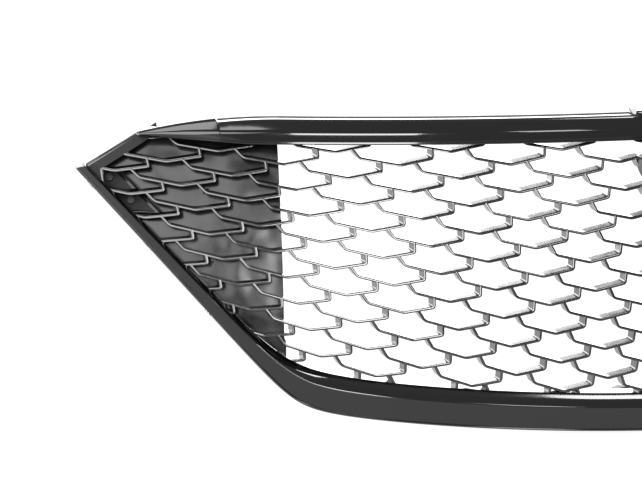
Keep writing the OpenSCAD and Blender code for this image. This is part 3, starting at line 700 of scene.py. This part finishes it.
# ---- materials ----
class Nodes:
    """A material's node tree, with the few nodes that the finishes here share."""

    def __init__(self, name):
        self.material = bpy.data.materials.new(name)
        self.material.use_nodes = True
        self.tree = self.material.node_tree
        self.shader = self.tree.nodes["Principled BSDF"]
        self.place = self.tree.nodes.new("ShaderNodeTexCoord").outputs["Object"]

    def link(self, a, b):
        self.tree.links.new(a, b)

    def noise(self, size, detail=3.0, stretch=(1, 1, 1), turn=(0, 0, 0)):
        """Noise with features of that size in metres."""
        mapping = self.tree.nodes.new("ShaderNodeMapping")
        mapping.inputs["Scale"].default_value = [1 / (size * s) for s in stretch]
        mapping.inputs["Rotation"].default_value = [math.radians(a) for a in turn]
        self.link(self.place, mapping.inputs["Vector"])
        node = self.tree.nodes.new("ShaderNodeTexNoise")
        node.inputs["Scale"].default_value = 1.0
        node.inputs["Detail"].default_value = detail
        self.link(mapping.outputs["Vector"], node.inputs["Vector"])
        return node.outputs["Fac"]

    def remap(self, value, low, high, to_low, to_high):
        node = self.tree.nodes.new("ShaderNodeMapRange")
        for name, number in (("From Min", low), ("From Max", high), ("To Min", to_low), ("To Max", to_high)):
            node.inputs[name].default_value = number
        self.link(value, node.inputs["Value"])
        return node.outputs["Result"]

    def mix(self, factor, a, b):
        node = self.tree.nodes.new("ShaderNodeMix")
        node.data_type = "RGBA"
        node.inputs["A"].default_value = (*a, 1)
        node.inputs["B"].default_value = (*b, 1)
        self.link(factor, node.inputs["Factor"])
        return node.outputs["Result"]

    def bump(self, height, distance, before=None):
        node = self.tree.nodes.new("ShaderNodeBump")
        node.inputs["Distance"].default_value = distance
        self.link(height, node.inputs["Height"])
        if before is not None:
            self.link(before, node.inputs["Normal"])
        return node.outputs["Normal"]

    def finish(self, colour, roughness, normal, **fixed):
        self.link(colour, self.shader.inputs["Base Color"])
        self.link(roughness, self.shader.inputs["Roughness"])
        self.link(normal, self.shader.inputs["Normal"])
        sockets = {"metallic": "Metallic", "specular_level": "Specular IOR Level"}
        for name, value in fixed.items():
            self.shader.inputs[sockets[name]].default_value = value
        return self.material


def gloss_plastic(name, black, roughness, peel):
    """Polished black plastic: orange peel, faint haze, and sparse specks of dust."""
    n = Nodes(name)
    specks = n.remap(n.noise(0.0007, 0.0), 0.8, 0.84, 0.0, 1.0)
    colour = n.mix(specks, (black, black, black * 1.05), (0.012, 0.012, 0.0125))
    haze = n.remap(n.noise(0.03, 4.0), 0.3, 0.7, roughness * 0.8, roughness * 1.35)
    normal = n.bump(n.noise(0.0018, 1.0), peel)
    return n.finish(colour, haze, normal)


def mesh_plastic():
    """Moulded black plastic of the mesh: glossy, with a fine mould grain and flow marks."""
    n = Nodes("mesh_black")
    colour = n.mix(n.noise(0.02, 3.0), (0.0016, 0.0016, 0.0017), (0.0035, 0.0035, 0.0037))
    rough = n.remap(n.noise(0.012, 4.0), 0.3, 0.7, 0.08, 0.15)
    grain = n.bump(n.noise(0.0004, 2.0), 0.000006)
    normal = n.bump(n.noise(0.006, 2.0), 0.00003, grain)
    return n.finish(colour, rough, normal, specular_level=0.8)


def panel_plastic():
    """Semi-gloss black plastic with a fine grain and diagonal drawing marks."""
    n = Nodes("satin_black")
    streaks = n.noise(0.0006, 3.0, stretch=(1, 1, 14), turn=(0, 38, 0))
    colour = n.mix(streaks, (0.0012, 0.0012, 0.0013), (0.0042, 0.0042, 0.0044))
    rough = n.remap(n.noise(0.015, 5.0), 0.3, 0.7, 0.16, 0.26)
    grain = n.bump(n.noise(0.0005, 2.0), 0.00001)
    waves = n.bump(n.noise(0.034, 1.0), 0.0024, grain)
    normal = n.bump(streaks, 0.000012, waves)
    return n.finish(colour, rough, normal, specular_level=0.32)


def coated_steel():
    """Black electro-coated pressed steel, slightly stippled."""
    n = Nodes("bracket_black")
    colour = n.mix(n.noise(0.01, 4.0), (0.004, 0.004, 0.0042), (0.01, 0.01, 0.0103))
    rough = n.remap(n.noise(0.004, 3.0), 0.3, 0.7, 0.34, 0.5)
    normal = n.bump(n.noise(0.0009, 2.0), 0.00003)
    return n.finish(colour, rough, normal)


def zinc_steel(name, brightness):
    """Zinc-plated steel with cloudy passivation and faint rolling lines."""
    n = Nodes(name)
    clouds = n.noise(0.008, 5.0)
    dull = [brightness * c for c in (0.62, 0.6, 0.56)]
    bright = [brightness * c for c in (0.86, 0.87, 0.88)]
    colour = n.mix(clouds, dull, bright)
    lines = n.noise(0.0004, 2.0, stretch=(1, 1, 30))
    rough = n.remap(lines, 0.3, 0.7, 0.26, 0.42)
    normal = n.bump(lines, 0.000006)
    return n.finish(colour, rough, normal, metallic=1.0)


def dull_black(name, size, low, high, roughness, depth, **fixed):
    """Rubber, felt and nylon: a rough black that varies with the grain of its surface."""
    n = Nodes(name)
    grain = n.noise(size, 4.0)
    colour = n.mix(grain, (low, low, low), (high, high, high))
    rough = n.remap(grain, 0.3, 0.7, roughness - 0.08, roughness + 0.08)
    return n.finish(colour, rough, n.bump(grain, depth), **fixed)


def make_materials():
    return {
        "mesh_black": mesh_plastic(),
        "mesh_textured": dull_black(
            "mesh_textured", 0.0012, 0.0015, 0.0045, 0.6, 0.00004, specular_level=0.25,
        ),
        "gloss_black": gloss_plastic("gloss_black", 0.0018, 0.06, 0.000004),
        "badge_face": gloss_plastic("badge_face", 0.0025, 0.08, 0.000003),
        "satin_black": panel_plastic(),
        "bracket_black": coated_steel(),
        "bracket_steel": zinc_steel("bracket_steel", 0.8),
        "fastener_steel": zinc_steel("fastener_steel", 0.95),
        "seal_rubber": dull_black("seal_rubber", 0.001, 0.004, 0.011, 0.72, 0.00006),
        "pad_felt": dull_black("pad_felt", 0.0006, 0.01, 0.05, 0.88, 0.0002),
        "retainer_black": dull_black("retainer_black", 0.0012, 0.003, 0.007, 0.48, 0.00001),
    }


# ---- what stays CAD ----
def dress_cad_nodes(frame, materials, replaced):
    """Every CAD node still shown gets its material, and softly broken edges."""
    slots = {p["node"]: p["material_slot"] for p in frame["record"]["subparts"]}
    for name, node in frame["nodes"].items():
        if name in replaced:
            continue
        node.data.materials.clear()
        node.data.materials.append(materials[slots[name]])
        weld = node.modifiers.new("weld", "WELD")
        weld.merge_threshold = 1e-6
        bevel = node.modifiers.new("broken_edges", "BEVEL")
        bevel.width = 0.25 * MM
        bevel.segments = 2
        bevel.limit_method = "ANGLE"
        bevel.angle_limit = math.radians(40)
        smooth = node.modifiers.new("weighted_normals", "WEIGHTED_NORMAL")
        smooth.keep_sharp = True


# ---- stage ----
CAMERA_TURN = math.radians(16)
CAMERA_RISE = math.radians(11)
CAMERA_AWAY = 5.0
CAMERA_AIM = Vector(placed(-359.78, 78.41, 134.78))
SENSOR_WIDE = 36
LENS = 322.4
SEE_TO = 200
LAMP_AWAY = 3.0
LAMP_AIM = Vector((-0.25, 0.0, -0.12))
FLOOR_REACH = 40
FLOOR_GAP = 0.0005
FLOOR_GREY = 0.2
FLOOR_GLOW = 0.85
ROOM_GLOW = 0.5


def make_camera():
    ahead = Vector((
        math.sin(CAMERA_TURN) * math.cos(CAMERA_RISE),
        math.cos(CAMERA_TURN) * math.cos(CAMERA_RISE),
        -math.sin(CAMERA_RISE),
    ))
    data = bpy.data.cameras.new("camera")
    data.sensor_width = SENSOR_WIDE
    data.lens = LENS
    data.clip_end = SEE_TO
    camera = bpy.data.objects.new("camera", data)
    camera.location = CAMERA_AIM - ahead * CAMERA_AWAY
    camera.rotation_euler = ahead.to_track_quat("-Z", "Y").to_euler()
    bpy.context.scene.collection.objects.link(camera)
    bpy.context.scene.camera = camera


def softbox(name, turn, rise, wide, high, radiance):
    """A soft panel facing the grille, turn degrees right of the front and rise degrees above the horizon."""
    a, e = math.radians(turn), math.radians(rise)
    back = Vector((math.sin(a) * math.cos(e), -math.cos(a) * math.cos(e), math.sin(e)))
    data = bpy.data.lights.new(name, "AREA")
    data.shape = "RECTANGLE"
    data.size = 2 * LAMP_AWAY * math.tan(math.radians(wide / 2))
    data.size_y = 2 * LAMP_AWAY * math.tan(math.radians(high / 2))
    data.energy = radiance * math.pi * data.size * data.size_y
    lamp = bpy.data.objects.new(name, data)
    lamp.location = LAMP_AIM + back * LAMP_AWAY
    lamp.rotation_euler = back.to_track_quat("Z", "Y").to_euler()
    lamp.visible_camera = False
    bpy.context.scene.collection.objects.link(lamp)


def make_floor(floor_z):
    mesh = bpy.data.meshes.new("floor")
    corners = [(x * FLOOR_REACH, y * FLOOR_REACH, floor_z) for x, y in ((-1, -1), (1, -1), (1, 1), (-1, 1))]
    mesh.from_pydata(corners, [], [(0, 1, 2, 3)])
    paint = bpy.data.materials.new("floor")
    paint.use_nodes = True
    shader = paint.node_tree.nodes["Principled BSDF"]
    shader.inputs["Base Color"].default_value = (FLOOR_GREY, FLOOR_GREY, FLOOR_GREY, 1)
    shader.inputs["Roughness"].default_value = 0.9
    shader.inputs["Emission Color"].default_value = (1, 1, 1, 1)
    shader.inputs["Emission Strength"].default_value = FLOOR_GLOW
    mesh.materials.append(paint)
    floor = bpy.data.objects.new("floor", mesh)
    bpy.context.scene.collection.objects.link(floor)


def light_studio():
    world = bpy.data.worlds.new("studio")
    world.use_nodes = True
    world.node_tree.nodes["Background"].inputs["Color"].default_value = (1, 1, 1, 1)
    world.node_tree.nodes["Background"].inputs["Strength"].default_value = ROOM_GLOW
    bpy.context.scene.world = world

    softbox("main_left", -18, 20, 14, 24, 20)
    softbox("side_low", -58, 20, 46, 46, 7)
    softbox("side_high", -66, 62, 14, 20, 7)
    softbox("high_right", 7, 36, 7, 14, 12)
    softbox("overhead", 106, 67, 14, 14, 20)
    softbox("back_sweep", 180, 8, 80, 20, 5)
    bpy.context.scene.view_settings.view_transform = "Standard"


# ---- assembly ----
def main():
    cad_box = [list(corner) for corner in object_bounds()]
    materials = make_materials()
    panel_finish = materials["satin_black"]
    made = [
        (make_mesh_insert(materials["mesh_black"]), "mesh_insert", "mesh_black"),
        (make_mesh_webs(materials["mesh_textured"]), "mesh_insert", "mesh_black"),
        (make_upper_molding(materials["gloss_black"]), "upper_molding", "gloss_black"),
        (make_lower_molding(materials["gloss_black"]), "lower_molding", "gloss_black"),
        (make_panel("panel_left_smooth", -1, panel_finish), "blanking_panel_left", "satin_black"),
        (make_panel("panel_right_smooth", 1, panel_finish), "blanking_panel_right", "satin_black"),
        (make_badge_base(materials["gloss_black"]), "badge_base", "gloss_black"),
        (make_badge_blank(materials["badge_face"]), "badge_blank", "badge_face"),
    ]
    for piece, node, slot in made:
        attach(piece, "grille")
        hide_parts(node)
    dress_cad_nodes(frame, materials, {node for _, node, _ in made})
    make_floor(cad_box[0][2] - FLOOR_GAP)
    light_studio()
    make_camera()


main()
